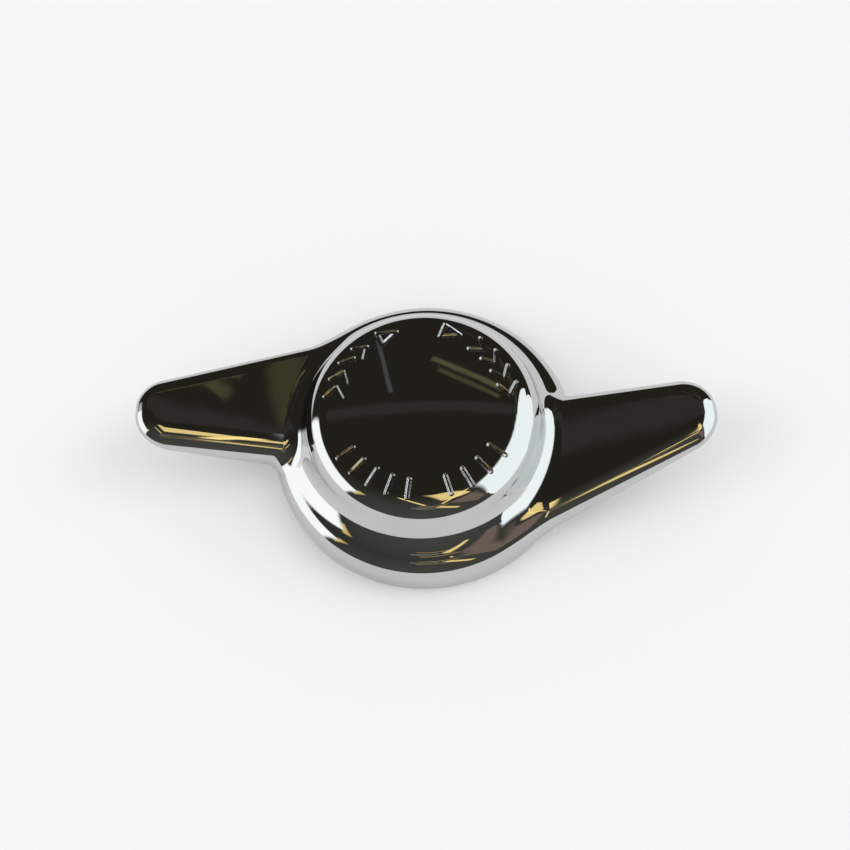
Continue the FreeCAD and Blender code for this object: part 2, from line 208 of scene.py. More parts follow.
def ear(x, y, z):
    """Distance to the two ears."""
    way = np.where(x < 0, -1.0, 1.0)
    x, y = x * way, y * way
    front = x * math.sin(FRONT_ANGLE) - y * math.cos(FRONT_ANGLE) - FRONT_OFFSET
    back = x * math.sin(BACK_ANGLE) + y * math.cos(BACK_ANGLE) - BACK_OFFSET
    tip = x * math.cos(TIP_ANGLE) + y * math.sin(TIP_ANGLE) - TIP_OFFSET
    plan = rounded_cut(rounded_cut(front, tip, TIP_FRONT), back, TIP_BACK)
    top, top_lean = ramp(x, EAR_TOP_AT_ROOT, EAR_TOP_AT_TIP)
    low, low_lean = ramp(x, EAR_LOW_AT_ROOT, EAR_LOW_AT_TIP)
    above = (z - top) * top_lean
    below = np.maximum((low - z) * low_lean, EAR_LOWEST - z)
    blade = rounded_cut(rounded_cut(plan, above, EAR_TOP_ROUND), below, EAR_LOW_ROUND)
    return np.maximum(blade, EAR_INNER - x)


print("the ear's tip line is", round(TIP_OFFSET, 2), "mm from the axis")

# %% [markdown]
# ## The hollow back
# The back is turned too: a cone seat that centres the nut on the wheel, a floor, and a bore with
# the hub thread and a relief groove above it. A lathe cuts them after the forging, so here too
# they are a second turned shape that is cut out of the first, with its own small corner rounds.

# %% The hollow of the back
MOUTH_RADIUS, SEAT_ANGLE, SEAT_DEPTH = 44.0, math.radians(20.0), 11.0
CREST_RADIUS, THREAD_DEPTH, THREAD_TOP = 19.0, 1.95, 22.4
RELIEF_RADIUS, BORE_TOP, EDGE_ROUND = 21.6, 25.5, 0.6
SEAT_CORNER, BORE_CORNER, RELIEF_CORNER = 1.2, 0.8, 0.4
SEAT_EDGE, RELIEF_EDGE = 0.8, 0.3


def hollow(r, z):
    """Distance to the space inside the back."""
    cone = (r - MOUTH_RADIUS) * math.cos(SEAT_ANGLE) + z * math.sin(SEAT_ANGLE)
    seat = rounded_cut(cone, z - SEAT_DEPTH, SEAT_CORNER)
    bore = rounded_cut(r - CREST_RADIUS - THREAD_DEPTH, z - BORE_TOP, BORE_CORNER)
    relief = rounded_cut(r - RELIEF_RADIUS, z - BORE_TOP, BORE_CORNER)
    relief = rounded_cut(relief, THREAD_TOP - z, RELIEF_CORNER)
    return rounded_join(rounded_join(seat, bore, SEAT_EDGE), relief, RELIEF_EDGE)


print("the seat's mouth is", 2 * MOUTH_RADIUS, "mm across, the thread's crests", 2 * CREST_RADIUS)

# %% [markdown]
# ## One distance for the whole forging
# On the real part the ears grow out of the bell through the blend that the forging die leaves,
# and the hollow is cut last. Separate meshes would meet in creases there. In the field each of
# these joins is one call with its radius.

# %% The whole spinner
def spinner(x, y, z):
    """Distance to the whole spinner."""
    r = np.hypot(x, y)
    solid = rounded_join(turned(r, z), ear(x, y, z), ROOT_BLEND)
    solid = rounded_cut(solid, -z, RIM_ROUND)
    return rounded_cut(solid, -hollow(r, z), EDGE_ROUND)


above_crown = float(spinner(0.0, 0.0, FACE_HEIGHT + CROWN_RISE + 1))
print("a point 1 mm above the crown is", round(above_crown, 2), "mm away")

# %% [markdown]
# ## From the distance to a mesh
# A grid of points finds every small cube that the surface passes through. Each such cube gets one
# vertex, and each grid edge that crosses the surface gets one quad. A remesh modifier could do
# this from a rough solid, but it would lose the exact surface, which the next step needs.

# %% Sample the field and net its surface
# The side of a cube, the grid's first point, and how many points it has along x, y and z
CELL = 0.8
LOW = np.array([-92.0, -50.8, -1.6])
COUNT = np.array([231, 128, 43])


def sample(field):
    """The field's values on the grid."""
    axes = [LOW[i] + CELL * np.arange(COUNT[i]) for i in range(3)]
    x, y, z = np.meshgrid(*axes, indexing="ij")
    return field(x, y, z)


def net(values):
    """Vertices and quads of the zero surface of a grid of values."""
    inside = values < 0
    total = np.zeros((*(COUNT - 1), 3))
    hits = np.zeros(COUNT - 1)
    crossings = []
    for axis in range(3):
        first = [slice(None)] * 3
        second = [slice(None)] * 3
        first[axis], second[axis] = slice(0, -1), slice(1, None)
        a, b = values[tuple(first)], values[tuple(second)]
        cell = np.argwhere(inside[tuple(first)] != inside[tuple(second)])
        a, b = a[tuple(cell.T)], b[tuple(cell.T)]
        point = cell.astype(float)
        point[:, axis] += a / (a - b)
        one, two = [k for k in range(3) if k != axis]
        if axis == 1:
            one, two = two, one
        around = []
        for step_one, step_two in ((0, 0), (1, 0), (1, 1), (0, 1)):
            home = cell.copy()
            home[:, one] -= step_one
            home[:, two] -= step_two
            np.add.at(total, tuple(home.T), point)
            np.add.at(hits, tuple(home.T), 1)
            around.append(home)
        crossings.append((around, a < 0))
    used = np.argwhere(hits > 0)
    number = np.full(COUNT - 1, -1)
    number[tuple(used.T)] = np.arange(len(used))
    places = total[tuple(used.T)] / hits[tuple(used.T)][:, None]
    quads = []
    for around, outward in crossings:
        loop = np.stack([number[tuple(home.T)] for home in around], axis=1)
        quads.append(np.where(outward[:, None], loop, loop[:, ::-1]))
    return LOW + CELL * places, np.vstack(quads)


points, quads = net(sample(spinner))
print(len(points), "vertices and", len(quads), "quads from cubes of", CELL, "mm")

# %% [markdown]
# ## Even quads that lie on the surface
# The raw net is stepped like its cubes, and a mirror shows every step. Plain smoothing would
# shrink the shape, so each vertex moves only along the surface, towards the middle of its
# neighbours, and is then pulled back along the field's gradient, which is the way the distance
# grows fastest.

# %% Slide the vertices along the surface and pull them onto it
GRADIENT_STEP, LEAST_GRADIENT, FARTHEST_PULL = 0.02, 0.2, 0.6
PULLS, SLIDES, SLIDE_SHARE = 2, 6, 0.6


def slope_of(field, points, step=GRADIENT_STEP):
    """The field's value and gradient at points."""
    grad = np.empty_like(points)
    for axis in range(3):
        ahead, behind = points.copy(), points.copy()
        ahead[:, axis] += step
        behind[:, axis] -= step
        grad[:, axis] = (field(*ahead.T) - field(*behind.T)) / (2 * step)
    return field(*points.T), grad


def pull(points, field=spinner):
    """Moves points onto the surface, along its gradient."""
    for _ in range(PULLS):
        value, grad = slope_of(field, points)
        size = np.maximum((grad ** 2).sum(axis=1), LEAST_GRADIENT)
        step = np.clip(value / size, -FARTHEST_PULL, FARTHEST_PULL)
        points = points - step[:, None] * grad
    return points


def neighbours(quads, count):
    """Pairs of joined vertices, both ways round, and how many each has."""
    pairs = np.vstack([quads[:, [k, (k + 1) % 4]] for k in range(4)])
    pairs = np.unique(np.sort(pairs, axis=1), axis=0)
    both = np.vstack([pairs, pairs[:, ::-1]])
    return both, np.bincount(both[:, 0], minlength=count)


def mean_of_neighbours(values, both, degree):
    """The middle of each vertex's neighbours."""
    sums = [np.bincount(both[:, 0], values[both[:, 1], k], len(values)) for k in range(3)]
    return np.stack([total / degree for total in sums], axis=1)


both, degree = neighbours(quads, len(points))
points = pull(points)
for _ in range(SLIDES):
    _, grad = slope_of(spinner, points)
    normal = grad / np.linalg.norm(grad, axis=1, keepdims=True)
    move = mean_of_neighbours(points, both, degree) - points
    move -= (move * normal).sum(axis=1)[:, None] * normal
    points = pull(points + SLIDE_SHARE * move)
value, _ = slope_of(spinner, points)
print("largest distance from the surface:", round(float(np.abs(value).max()), 4), "mm")

# %% [markdown]
# ## Marks for the mallet
# A row of marks is punched round the cap, so that a mechanic knows which way to drive the ears.
# Here they are two arrowheads, chevrons that point the same way, and plain bars. Each could be
# placed by hand, but a node tree with named inputs sets any of them in an arc, and its numbers
# are easy to change.

# %% Helpers for node trees
def feed(links, socket, value):
    """Links a socket to the output of another node, or sets its number or colour."""
    if isinstance(value, bpy.types.NodeSocket):
        links.new(value, socket)
    else:
        socket.default_value = value


def join(tree, *pairs):
    """Links each pair of an output and an input."""
    for source, socket in pairs:
        tree.links.new(source, socket)


def link_math(tree, operation, *values):
    """The result of a sum on numbers and on outputs of other nodes."""
    node = tree.nodes.new("ShaderNodeMath")
    node.operation = operation
    for socket, value in zip(node.inputs, values):
        feed(tree.links, socket, value)
    return node.outputs[0]


def new_tree(name, numbers):
    """A node group that takes a geometry and some numbers, with its input and output nodes."""
    tree = bpy.data.node_groups.new(name, "GeometryNodeTree")
    tree.interface.new_socket("Geometry", in_out="INPUT", socket_type="NodeSocketGeometry")
    for label, kind in numbers:
        tree.interface.new_socket(label, in_out="INPUT", socket_type=kind)
    tree.interface.new_socket("Geometry", in_out="OUTPUT", socket_type="NodeSocketGeometry")
    return tree, tree.nodes.new("NodeGroupInput"), tree.nodes.new("NodeGroupOutput")


def end_tree(tree, geometry, output, material=None):
    """Closes a tree with real geometry and its material."""
    real = tree.nodes.new("GeometryNodeRealizeInstances")
    paint = tree.nodes.new("GeometryNodeSetMaterial")
    if material:
        paint.inputs["Material"].default_value = material
    tree.links.new(geometry, real.inputs[0])
    tree.links.new(real.outputs[0], paint.inputs["Geometry"])
    tree.links.new(paint.outputs[0], output.inputs["Geometry"])


def evaluated(name, mesh, tree, values):
    """The mesh that the tree makes from a start mesh and its named inputs."""
    holder = bpy.data.objects.new(name, mesh)
    bpy.context.scene.collection.objects.link(holder)
    modifier = holder.modifiers.new(name, "NODES")
    modifier.node_group = tree
    for item in tree.interface.items_tree:
        if item.in_out == "INPUT" and item.name in values:
            modifier[item.identifier] = values[item.name]
    ready = holder.evaluated_get(bpy.context.evaluated_depsgraph_get())
    made = bpy.data.meshes.new_from_object(ready)
    bpy.data.objects.remove(holder)
    return made


WHOLE, REAL = "NodeSocketInt", "NodeSocketFloat"
print("counts are", WHOLE, "inputs, and sizes and angles", REAL)

# %% A node tree that repeats one mark round an arc
NUMBERS = [("Count", WHOLE), ("Radius", REAL), ("First Angle", REAL), ("Step", REAL)]
arc_of_marks, given, output = new_tree("arc_of_marks", NUMBERS)
index = arc_of_marks.nodes.new("GeometryNodeInputIndex")
step_and_first = given.outputs["Step"], given.outputs["First Angle"]
angle = link_math(arc_of_marks, "MULTIPLY_ADD", index.outputs[0], *step_and_first)
spot = arc_of_marks.nodes.new("ShaderNodeCombineXYZ")
for socket, operation in zip(spot.inputs, ("COSINE", "SINE")):
    share = link_math(arc_of_marks, operation, angle)
    reach = link_math(arc_of_marks, "MULTIPLY", share, given.outputs["Radius"])
    arc_of_marks.links.new(reach, socket)
spin = arc_of_marks.nodes.new("ShaderNodeCombineXYZ")
facing = arc_of_marks.nodes.new("FunctionNodeEulerToRotation")
spots = arc_of_marks.nodes.new("GeometryNodePoints")
copies = arc_of_marks.nodes.new("GeometryNodeInstanceOnPoints")
join(
    arc_of_marks,
    (angle, spin.inputs["Z"]),
    (spin.outputs[0], facing.inputs[0]),
    (given.outputs["Count"], spots.inputs["Count"]),
    (spot.outputs[0], spots.inputs["Position"]),
    (spots.outputs[0], copies.inputs["Points"]),
    (given.outputs["Geometry"], copies.inputs["Instance"]),
    (facing.outputs[0], copies.inputs["Rotation"]),
)
end_tree(arc_of_marks, copies.outputs[0], output)
print("nodes in the arc of marks:", len(arc_of_marks.nodes))

# %% [markdown]
# ## Setting the marks out
# The punch marks are a few straight strokes each, about as high as a small hand punch makes them.
# Here a mark is an outline in millimetres round its own middle, so the same tree sets all of
# them, and only the lines are needed, because the groove comes from the distance to them.

# %% Set out the arrowheads, chevrons and bars
MARK_RADIUS = 27.4
BAR = [(-2.8, 0.0), (2.8, 0.0)]
CHEVRON = [(-2.8, 1.7), (0.0, -1.9), (2.8, 1.7)]
ARROWHEAD = [(-2.5, 2.8), (0.2, -3.1), (2.5, 2.8), (-2.5, 2.8)]
# The outline, how many there are, the first one's angle and the step, in degrees
ROWS = [
    (ARROWHEAD, 2, 69.0, 43.0),
    (CHEVRON, 4, 132.0, 12.0),
    (CHEVRON, 4, 10.0, 12.5),
    (BAR, 5, -147.0, 12.0),
    (BAR, 4, -74.0, 13.0),
]


def mark_lines():
    """Start and end of every line of the marks, in plan."""
    starts, ends = [], []
    for outline, count, first, step in ROWS:
        mesh = bpy.data.meshes.new("mark")
        strokes = [(i, i + 1) for i in range(len(outline) - 1)]
        mesh.from_pydata([(x, y, 0) for x, y in outline], strokes, [])
        values = {"Count": count, "Radius": MARK_RADIUS}
        values |= {"First Angle": math.radians(first), "Step": math.radians(step)}
        made = evaluated("marks", mesh, arc_of_marks, values)
        places = np.array([vertex.co[:2] for vertex in made.vertices])
        for line in made.edges:
            starts.append(places[line.vertices[0]])
            ends.append(places[line.vertices[1]])
        bpy.data.meshes.remove(made)
    return np.array(starts), np.array(ends)


line_starts, line_ends = mark_lines()
print(len(line_starts), "punched lines")

# %% [markdown]
# ## Punching the marks in
# Each line becomes a shallow groove with a soft brow, as a blunt punch leaves it under the
# plating. The cap's quads are too coarse for that, so the ones under a line are split, and their
# neighbours take up the new edge points. A bump in the material would be quicker, but the marks
# have to be there in the mesh too.

# %% The groove as a distance
GROOVE_DEPTH, GROOVE_HALF, GROOVE_WALL = 0.5, 0.78, 0.5
CAP_ABOVE, FAR_OFF = 24, 1e3


def from_lines(x, y):
    """Distance in plan from the nearest line of the marks."""
    best = np.full(np.shape(x), FAR_OFF)
    for start, end in zip(line_starts, line_ends):
        run = end - start
        dx, dy = x - start[0], y - start[1]
        along = np.clip((dx * run[0] + dy * run[1]) / (run @ run), 0, 1)
        best = np.minimum(best, np.hypot(dx - along * run[0], dy - along * run[1]))
    return best


def stamped(x, y, z):
    """Distance to the spinner with its marks."""
    share = np.clip((GROOVE_HALF - from_lines(x, y)) / GROOVE_WALL, 0, 1)
    sunk = GROOVE_DEPTH * share * share * (3 - 2 * share)
    return spinner(x, y, z) + np.where(z > CAP_ABOVE, sunk, 0)


print("a groove is", GROOVE_DEPTH, "mm deep and", 2 * GROOVE_HALF, "mm wide")

# %% Split the quads under the lines
SPLIT, SPLIT_MARGIN, FACE_ABOVE = 5, 1.0, 26
FINE_STEP, DIGITS = 0.01, 5


def split_quads(points, quads, chosen):
    """Splits the chosen quads; the other faces take the new points on shared edges in."""
    steps = np.arange(SPLIT + 1) / SPLIT
    across, along = np.meshgrid(steps, steps, indexing="ij")
    weights = [(1 - across) * (1 - along), across * (1 - along), across * along,
               (1 - across) * along]
    corner = points[quads[chosen]]
    grid = sum(corner[:, k, None, None, :] * weights[k][None, :, :, None] for k in range(4))
    every = np.round(np.vstack([points, grid.reshape(-1, 3)]), DIGITS)
    unique, number = np.unique(every, axis=0, return_inverse=True)
    number = number.ravel()
    ids = number[len(points):].reshape(grid.shape[:3])
    small = [ids[:, :-1, :-1], ids[:, 1:, :-1], ids[:, 1:, 1:], ids[:, :-1, 1:]]
    inserted = {}
    sides = [ids[:, :, 0], ids[:, -1, :], ids[:, ::-1, -1], ids[:, 0, ::-1]]
    for side in sides:
        for row in side.tolist():
            inserted[(row[0], row[-1])] = row[1:-1]
            inserted[(row[-1], row[0])] = row[-2:0:-1]
    faces = np.stack(small, axis=-1).reshape(-1, 4).tolist()
    for quad in number[quads[~chosen]].tolist():
        loop = []
        for first, second in zip(quad, quad[1:] + quad[:1]):
            loop.append(first)
            loop.extend(inserted.get((first, second), []))
        faces.append(loop)
    return unique, faces


middle = points[quads].mean(axis=1)
near_line = from_lines(middle[:, 0], middle[:, 1]) < GROOVE_HALF + SPLIT_MARGIN
under_line = (middle[:, 2] > FACE_ABOVE) & near_line
points, faces = split_quads(points, quads, under_line)
points = pull(points, stamped)
_, grad = slope_of(stamped, points, FINE_STEP)
normals = grad / np.linalg.norm(grad, axis=1, keepdims=True)
print(int(under_line.sum()), "quads split,", len(faces), "faces in all")

# %% [markdown]
# ## The mesh in the scene
# A mirror bends its picture by the normals, so the shell carries the field's own directions as
# custom normals, which are smoother than what Blender works out from the faces. The vertices of
# the hollow also get a value of 1, so that the material can tell the machined back from the
# polished outside.

# %% Make the mesh object
MM, BACK_FADE = 0.001, 0.5


def mesh_object(name, points, faces, normals):
    """An object in metres from points in millimetres, with its own normals."""
    mesh = bpy.data.meshes.new(name)
    mesh.from_pydata((points * MM).tolist(), [], faces)
    mesh.shade_smooth()
    mesh.normals_split_custom_set_from_vertices(normals.tolist())
    body = bpy.data.objects.new(name, mesh)
    bpy.context.scene.collection.objects.link(body)
    return body


shell = mesh_object("chromed_spinner", points, faces, normals)
from_hollow = np.abs(hollow(np.hypot(points[:, 0], points[:, 1]), points[:, 2]))
inner = np.clip(1 - from_hollow / BACK_FADE, 0, 1)
shell.data.attributes.new("inside_back", "FLOAT", "POINT").data.foreach_set("value", inner)
print("mesh box:", np.round(points.min(axis=0), 2), np.round(points.max(axis=0), 2))

# %% [markdown]
# ## The chrome
# Polished chrome is a mirror that keeps a little more than half of the light. Its colour is
# almost neutral. What tells it from a drawn mirror is small: the hand polish leaves slow waves,
# and handling leaves a thin haze. In the hollow back the plating is thin and the steel was only
# turned, so it is duller there. Noise in Object coordinates makes all of this, because it needs
# no seams and keeps its scale on every face.

# %% Helpers for a material's nodes
def new_material(name):
    """A material with its nodes, its links and its main shader."""
    material = bpy.data.materials.new(name)
    material.use_nodes = True
    nodes, links = material.node_tree.nodes, material.node_tree.links
    return material, nodes, links, nodes["Principled BSDF"]


def noise(nodes, links, place, scale, detail=3.0, stretch=(1, 1, 1)):
    """A noise value over the object, with features per metre as its scale."""
    fit = nodes.new("ShaderNodeMapping")
    fit.inputs["Scale"].default_value = stretch
    texture = nodes.new("ShaderNodeTexNoise")
    texture.inputs["Scale"].default_value = scale
    texture.inputs["Detail"].default_value = detail
    links.new(place, fit.inputs["Vector"])
    links.new(fit.outputs[0], texture.inputs["Vector"])
    return texture.outputs["Fac"]


def spread(nodes, links, value, low, high, start=0.3, end=0.7):
    """Carries a value onto a range."""
    node = nodes.new("ShaderNodeMapRange")
    limits = {"From Min": start, "From Max": end, "To Min": low, "To Max": high}
    for label, number in limits.items():
        node.inputs[label].default_value = number
    links.new(value, node.inputs["Value"])
    return node.outputs[0]


def blend(nodes, links, share, a, b, kind="RGBA"):
    """A mix of two colours or numbers."""
    node = nodes.new("ShaderNodeMix")
    node.data_type = kind
    links.new(share, node.inputs["Factor"])
    held = "VALUE" if kind == "FLOAT" else kind
    ends = [socket for socket in node.inputs if socket.name in "AB" and socket.type == held]
    for socket, value in zip(ends, (a, b)):
        feed(links, socket, value)
    return next(socket for socket in node.outputs if socket.type == held)


chrome, nodes, links, shader = new_material("polished_chrome")
print("material:", chrome.name)

# %% The chrome's colour, polish and waves
HAZE_SCALE, SMEAR_SCALE, WAVE_SCALE = 45.0, 160.0, 90.0
HAZE_DETAIL, SMEAR_DETAIL, WAVE_DETAIL = 4.0, 5.0, 1.0
SMEAR_STRETCH = (1.0, 0.25, 1.0)
CHROME_DEEP, CHROME_PALE = (0.535, 0.541, 0.54, 1), (0.565, 0.57, 0.565, 1)
STEEL_DEEP, STEEL_PALE = (0.40, 0.39, 0.37, 1), (0.50, 0.49, 0.47, 1)
POLISHED, LATHE_CUT = (0.015, 0.055), (0.16, 0.3)
WAVE_STRENGTH, WAVE_HEIGHT = 0.35, 0.00006

place = nodes.new("ShaderNodeTexCoord").outputs["Object"]
inside = nodes.new("ShaderNodeAttribute")
inside.attribute_name = "inside_back"
haze = noise(nodes, links, place, HAZE_SCALE, HAZE_DETAIL)
smears = noise(nodes, links, place, SMEAR_SCALE, SMEAR_DETAIL, SMEAR_STRETCH)
bright = blend(nodes, links, spread(nodes, links, haze, 0, 1), CHROME_DEEP, CHROME_PALE)
turned_steel = blend(nodes, links, spread(nodes, links, smears, 0, 1), STEEL_DEEP, STEEL_PALE)
colour = blend(nodes, links, inside.outputs["Fac"], bright, turned_steel)
polish = spread(nodes, links, smears, *POLISHED)
lathe_cut = spread(nodes, links, haze, *LATHE_CUT)
rough = blend(nodes, links, inside.outputs["Fac"], polish, lathe_cut, "FLOAT")
waves = nodes.new("ShaderNodeBump")
waves.inputs["Strength"].default_value = WAVE_STRENGTH
waves.inputs["Distance"].default_value = WAVE_HEIGHT
links.new(noise(nodes, links, place, WAVE_SCALE, WAVE_DETAIL), waves.inputs["Height"])
shader.inputs["Metallic"].default_value = 1.0
links.new(colour, shader.inputs["Base Color"])
links.new(rough, shader.inputs["Roughness"])
links.new(waves.outputs[0], shader.inputs["Normal"])
shell.data.materials.append(chrome)
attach(shell, "root")
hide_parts("spinner")
print("chrome nodes:", len(nodes))

# %% [markdown]
# ## The thread
# The hub's thread is cut with a single point at eight turns to the inch. The nut for this side is
# left-handed, so that the wheel's turning never loosens it. Stacked rings would look alike but
# wouldn't screw on, so a node tree carries the ridge's outline along a true helix.

# %% A node tree that carries a ridge along a left-handed helix
PITCH, RIDGE_BASE, RIDGE_CREST, RIDGE_SUNK = 3.175, 2.7, 0.5, 0.2
POINTS_A_TURN = 96
NUMBERS = [(label, REAL) for label in ("Radius", "Pitch", "Length", "Depth")]
thread_tree, given, output = new_tree("helix_ridge", NUMBERS)
helix = thread_tree.nodes.new("GeometryNodeCurveSpiral")
helix.inputs["Resolution"].default_value = POINTS_A_TURN
helix.inputs["Reverse"].default_value = True
upright = thread_tree.nodes.new("GeometryNodeSetCurveNormal")
upright.mode = "Z_UP"
outline = thread_tree.nodes.new("GeometryNodeCurvePrimitiveQuadrilateral")
outline.mode = "TRAPEZOID"
turn_outline = thread_tree.nodes.new("GeometryNodeTransform")
carry = thread_tree.nodes.new("GeometryNodeCurveToMesh")
carry.inputs["Fill Caps"].default_value = True
turns = link_math(thread_tree, "DIVIDE", given.outputs["Length"], given.outputs["Pitch"])
outline.inputs["Bottom Width"].default_value = RIDGE_BASE * MM
outline.inputs["Top Width"].default_value = RIDGE_CREST * MM
outline.inputs["Offset"].default_value = 0.0
turn_outline.inputs["Rotation"].default_value = (0, 0, math.radians(90))
join(
    thread_tree,
    (given.outputs["Radius"], helix.inputs["Start Radius"]),
    (given.outputs["Radius"], helix.inputs["End Radius"]),
    (turns, helix.inputs["Rotations"]),
    (given.outputs["Length"], helix.inputs["Height"]),
    (given.outputs["Depth"], outline.inputs["Height"]),
    (helix.outputs[0], upright.inputs["Curve"]),
    (outline.outputs[0], turn_outline.inputs["Geometry"]),
    (upright.outputs[0], carry.inputs["Curve"]),
    (turn_outline.outputs[0], carry.inputs["Profile Curve"]),
)
end_tree(thread_tree, carry.outputs[0], output, chrome)
print("nodes in the helix tree:", len(thread_tree.nodes))

# %% Make the hub thread
LEAD = 2.0
THREAD_START = SEAT_DEPTH + LEAD
ridge_depth = THREAD_DEPTH + RIDGE_SUNK
length = THREAD_TOP - THREAD_START - RIDGE_BASE
values = {"Radius": (CREST_RADIUS + ridge_depth / 2) * MM, "Pitch": PITCH * MM,
          "Length": length * MM, "Depth": ridge_depth * MM}
ridge = evaluated("thread", bpy.data.meshes.new("start"), thread_tree, values)
ridge.transform(Matrix.Translation((0, 0, (THREAD_START + RIDGE_BASE / 2) * MM)))
machined = ridge.attributes.new("inside_back", "FLOAT", "POINT")
machined.data.foreach_set("value", [1.0] * len(ridge.vertices))
thread = bpy.data.objects.new("hub_thread", ridge)
bpy.context.scene.collection.objects.link(thread)
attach(thread, "root")
spots = np.array([vertex.co for vertex in ridge.vertices]) / MM
radii = np.hypot(spots[:, 0], spots[:, 1])
print("thread: radius", radii.min().round(2), "to", radii.max().round(2))
print("thread: height", spots[:, 2].min().round(2), "to", spots[:, 2].max().round(2))
print("thread: faces", len(ridge.polygons))

# %% [markdown]
# ## The camera
# The photograph is taken from above the front at a steep angle, so the cap reads as an ellipse.
# The angles and the distance come from matching the spinner's outline, and the lens from the same
# match. The camera's three axes are written out, because the picture is also tilted a little.

# %% Set the camera
ELEVATION, AZIMUTH, ROLL = math.radians(63.91), math.radians(4.245), math.radians(-5.885)
DISTANCE, AIM = 0.30545, np.array([0.000535, 0.000022, 0.015959])
SENSOR_MM, LENS_MM, NEAREST, FARTHEST = 36, 40.63, 0.01, 50
back = np.array([
    math.sin(AZIMUTH) * math.cos(ELEVATION),
    -math.cos(AZIMUTH) * math.cos(ELEVATION),
    math.sin(ELEVATION),
])
level = np.cross(-back, [0, 0, 1])
level /= np.linalg.norm(level)
above = np.cross(level, -back)
right = level * math.cos(ROLL) + above * math.sin(ROLL)
up = -level * math.sin(ROLL) + above * math.cos(ROLL)
lens = bpy.data.cameras.new("camera")
lens.sensor_width, lens.lens = SENSOR_MM, LENS_MM
lens.clip_start, lens.clip_end = NEAREST, FARTHEST
camera = bpy.data.objects.new("camera", lens)
place = AIM + back * DISTANCE
rows = [[right[i], up[i], back[i], place[i]] for i in range(3)] + [[0, 0, 0, 1]]
camera.matrix_world = Matrix(rows)
bpy.context.scene.collection.objects.link(camera)
bpy.context.scene.camera = camera
bpy.context.scene.view_settings.view_transform = "Standard"
print("camera at", np.round(place, 3))

# %% [markdown]
# ## The floor
# The spinner lies on plain pale paper that runs far out, so that the skirt and the undersides of
# the ears have something plain to mirror. A white backdrop without a floor would be simpler, but
# then nothing would keep the soft shadow under the ears.

# %% Lay the paper
PAPER_HALF, PAPER_COLOUR = 12.0, (0.93, 0.93, 0.93, 1)
PAPER_ROUGHNESS, PAPER_SHINE = 0.9, 0.2


def stage_object(name, mesh):
    """An object that belongs to the studio, not to the spinner."""
    piece = bpy.data.objects.new(name, mesh)
    bpy.context.scene.collection.objects.link(piece)
    return piece


floor_mesh = bpy.data.meshes.new("paper_floor")
around = ((-1, -1), (1, -1), (1, 1), (-1, 1))
corners = [(x * PAPER_HALF, y * PAPER_HALF, 0) for x, y in around]
floor_mesh.from_pydata(corners, [], [(0, 1, 2, 3)])
floor = stage_object("paper_floor", floor_mesh)
paper, nodes, links, shader = new_material("pale_paper")
shader.inputs["Base Color"].default_value = PAPER_COLOUR
shader.inputs["Roughness"].default_value = PAPER_ROUGHNESS
shader.inputs["Specular IOR Level"].default_value = PAPER_SHINE
floor.data.materials.append(paper)
print("the paper is", 2 * PAPER_HALF, "m square")

# %% [markdown]
# ## The studio
# A mirror shows its room, so the room is half of the finish. Two large soft cards stand left and
# right, and their light is what whitens the cove. Everything above is dark, which is why the cap
# and the ears read as black. A dark world would darken the background as well, so a dome that
# only the metal sees stands in for the room. It is a little paler on the camera's side.

# %% Dark surroundings above the paper
ROOM, DIMMEST_FROM = 3.6, 0.2
NEAR_SIDE, FAR_SIDE = (0.09, 0.09, 0.08, 1), (0.026, 0.024, 0.018, 1)


def dome_mesh(radius, rings=24, spokes=48):
    """Half a ball over the paper."""
    grid = []
    for i in range(rings + 1):
        lift = QUARTER * i / rings
        out, height = radius * math.cos(lift), radius * math.sin(lift)
        for k in range(spokes):
            way = 2 * math.pi * k / spokes
            grid.append((out * math.cos(way), out * math.sin(way), height))
    faces = []
    for i in range(rings):
        for k in range(spokes):
            n = (k + 1) % spokes
            low, high = i * spokes, (i + 1) * spokes
            faces.append((low + k, high + k, high + n, low + n))
    mesh = bpy.data.meshes.new("dark_room")
    mesh.from_pydata(grid, [], faces)
    return mesh


def unseen_by_lens(piece):
    """A card out of shot: the metal mirrors it, and the camera and the paper don't meet it."""
    piece.visible_camera = False
    piece.visible_diffuse = False
    piece.visible_shadow = False
    return piece


room = unseen_by_lens(stage_object("dark_room", dome_mesh(ROOM)))
dusk, nodes, links, shader = new_material("dark_room")
nodes.remove(shader)
glow = nodes.new("ShaderNodeEmission")
where = nodes.new("ShaderNodeTexCoord")
split = nodes.new("ShaderNodeSeparateXYZ")
links.new(where.outputs["Object"], split.inputs[0])
depth = spread(nodes, links, split.outputs["Y"], 0, 1, -ROOM, DIMMEST_FROM)
links.new(blend(nodes, links, depth, NEAR_SIDE, FAR_SIDE), glow.inputs["Color"])
links.new(glow.outputs[0], nodes["Material Output"].inputs[0])
room.data.materials.append(dusk)
print("the dome has", len(room.data.polygons), "faces")

# %% [markdown]
# ## Soft cards and warm lamps
# A real card is a board with a lamp behind it, so its edge fades. Here each is one sheet that
# glows in the mirror and fades over a share of its width. Area lamps would be quicker to place,
# but chrome shows them as hard-edged squares.

# %% A glowing sheet with soft edges
def direction(azimuth, elevation):
    """The direction of an azimuth and an elevation in degrees."""
    a, e = math.radians(azimuth), math.radians(elevation)
    return np.array([math.cos(a) * math.cos(e), math.sin(a) * math.cos(e), math.sin(e)])


HALF_WAY = 0.5


